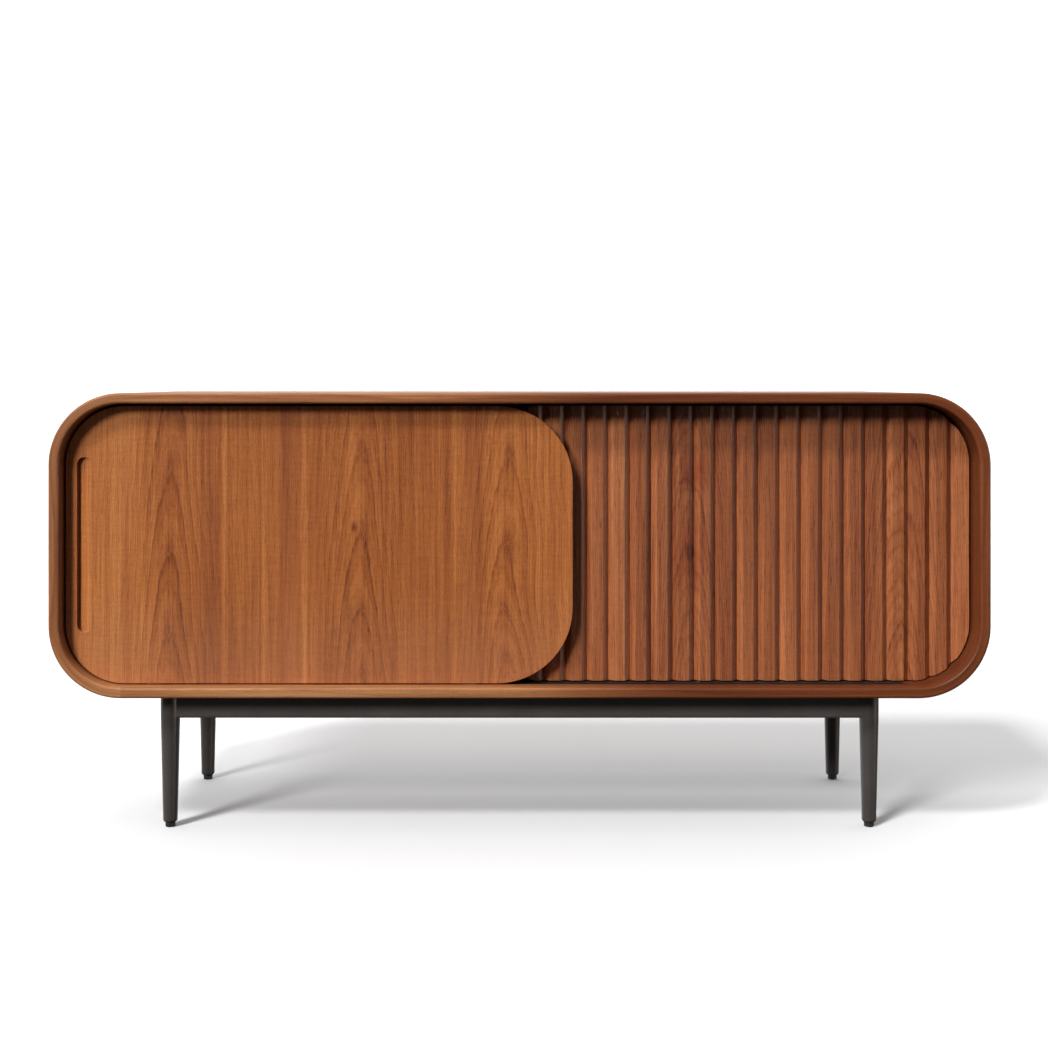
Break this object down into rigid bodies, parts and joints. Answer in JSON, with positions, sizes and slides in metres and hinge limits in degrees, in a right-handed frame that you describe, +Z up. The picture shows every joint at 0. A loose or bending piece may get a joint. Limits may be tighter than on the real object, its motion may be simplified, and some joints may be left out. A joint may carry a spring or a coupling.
{
  "type": "media cabinet",
  "caption": "Low media cabinet with rounded corners, one flat and one ribbed sliding door, a shelf in each half, and a dark steel base on round tapered legs.",
  "frame": {"origin": "on the floor, under the middle of the cabinet", "axes": "+X to the right along the width, +Y to the back, +Z up; the doors face -Y"},
  "size_m": [1.5, 0.4, 0.704],
  "materials": {
    "case_veneer": "satin oiled walnut veneer",
    "door_veneer": "satin oiled walnut veneer, upright grain",
    "rib_wood": "satin oiled solid walnut",
    "inner_veneer": "satin walnut veneer",
    "backing_board": "satin walnut veneer",
    "back_board": "matt walnut veneer board",
    "raw_beech": "raw beech",
    "dark_track": "dark anodised",
    "base_steel": "dark bronze-grey powder coat",
    "foot_plastic": "matt black",
    "roller_nylon": "natural nylon",
    "black_plastic": "moulded black",
    "zinc_steel": "zinc plated"
  },
  "bodies": {
    "cabinet": {"back_panel": "back_board", "back_panel_screws": "zinc_steel", "base_front_rail": "base_steel", "base_left_rail": "base_steel", "base_mounting_tabs": "base_steel", "base_rear_rail": "base_steel", "base_right_rail": "base_steel", "base_screws": "zinc_steel", "bottom_left_corner": "case_veneer", "bottom_panel": "case_veneer", "bottom_right_corner": "case_veneer", "bottom_track": "dark_track", "cable_grommets": "black_plastic", "center_divider": "inner_veneer", "corner_splines": "raw_beech", "divider_dowels": "raw_beech", "front_left_leg": "base_steel", "front_right_leg": "base_steel", "left_shelf": "inner_veneer", "left_side_panel": "case_veneer", "leg_inserts": "zinc_steel", "rear_left_leg": "base_steel", "rear_right_leg": "base_steel", "right_shelf": "inner_veneer", "right_side_panel": "case_veneer", "shelf_pins": "zinc_steel", "top_left_corner": "case_veneer", "top_panel": "case_veneer", "top_right_corner": "case_veneer", "top_track": "dark_track", "track_screws": "zinc_steel"},
    "front_door": {"front_door_panel": "door_veneer", "front_door_roller_axles": "zinc_steel", "front_door_roller_housings": "black_plastic", "front_door_screws": "zinc_steel", "front_door_top_guides": "black_plastic"},
    "ribbed_door": {"ribbed_door_backing": "backing_board", "ribbed_door_ribs": "rib_wood", "ribbed_door_roller_axles": "zinc_steel", "ribbed_door_roller_housings": "black_plastic", "ribbed_door_screws": "zinc_steel", "ribbed_door_top_guides": "black_plastic"},
    "front_door_left_roller": {"front_door_left_roller": "roller_nylon"},
    "front_door_right_roller": {"front_door_right_roller": "roller_nylon"},
    "ribbed_door_left_roller": {"ribbed_door_left_roller": "roller_nylon"},
    "ribbed_door_right_roller": {"ribbed_door_right_roller": "roller_nylon"},
    "front_left_foot": {"front_left_foot_pad": "foot_plastic", "front_left_foot_stud": "zinc_steel"},
    "front_right_foot": {"front_right_foot_pad": "foot_plastic", "front_right_foot_stud": "zinc_steel"},
    "rear_left_foot": {"rear_left_foot_pad": "foot_plastic", "rear_left_foot_stud": "zinc_steel"},
    "rear_right_foot": {"rear_right_foot_pad": "foot_plastic", "rear_right_foot_stud": "zinc_steel"}
  },
  "joints": [
    {"name": "front_door_slide", "type": "slide", "parent": "cabinet", "child": "front_door", "axis": [1, 0, 0], "range_m": [0, 0.644]},
    {"name": "ribbed_door_slide", "type": "slide", "parent": "cabinet", "child": "ribbed_door", "axis": [-1, 0, 0], "range_m": [0, 0.644]},
    {"name": "front_door_left_roller_spin", "type": "hinge", "parent": "front_door", "child": "front_door_left_roller", "pos_m": [-0.59, -0.165, 0.2398], "axis": [0, 1, 0], "continuous": true},
    {"name": "front_door_right_roller_spin", "type": "hinge", "parent": "front_door", "child": "front_door_right_roller", "pos_m": [-0.0815, -0.165, 0.2398], "axis": [0, 1, 0], "continuous": true},
    {"name": "ribbed_door_left_roller_spin", "type": "hinge", "parent": "ribbed_door", "child": "ribbed_door_left_roller", "pos_m": [0.0815, -0.131, 0.2398], "axis": [0, 1, 0], "continuous": true},
    {"name": "ribbed_door_right_roller_spin", "type": "hinge", "parent": "ribbed_door", "child": "ribbed_door_right_roller", "pos_m": [0.59, -0.131, 0.2398], "axis": [0, 1, 0], "continuous": true},
    {"name": "front_left_foot_screw", "type": "slide", "parent": "cabinet", "child": "front_left_foot", "axis": [0, 0, -1], "range_m": [0, 0.01]},
    {"name": "front_right_foot_screw", "type": "slide", "parent": "cabinet", "child": "front_right_foot", "axis": [0, 0, -1], "range_m": [0, 0.01]},
    {"name": "rear_left_foot_screw", "type": "slide", "parent": "cabinet", "child": "rear_left_foot", "axis": [0, 0, -1], "range_m": [0, 0.01]},
    {"name": "rear_right_foot_screw", "type": "slide", "parent": "cabinet", "child": "rear_right_foot", "axis": [0, 0, -1], "range_m": [0, 0.01]}
  ],
  "couplings": [
    {"joint": "front_door_left_roller_spin", "follows": "front_door_slide", "rad_per_m": 83.333},
    {"joint": "front_door_right_roller_spin", "follows": "front_door_slide", "rad_per_m": 83.333},
    {"joint": "ribbed_door_left_roller_spin", "follows": "ribbed_door_slide", "rad_per_m": -83.333},
    {"joint": "ribbed_door_right_roller_spin", "follows": "ribbed_door_slide", "rad_per_m": -83.333}
  ]
}
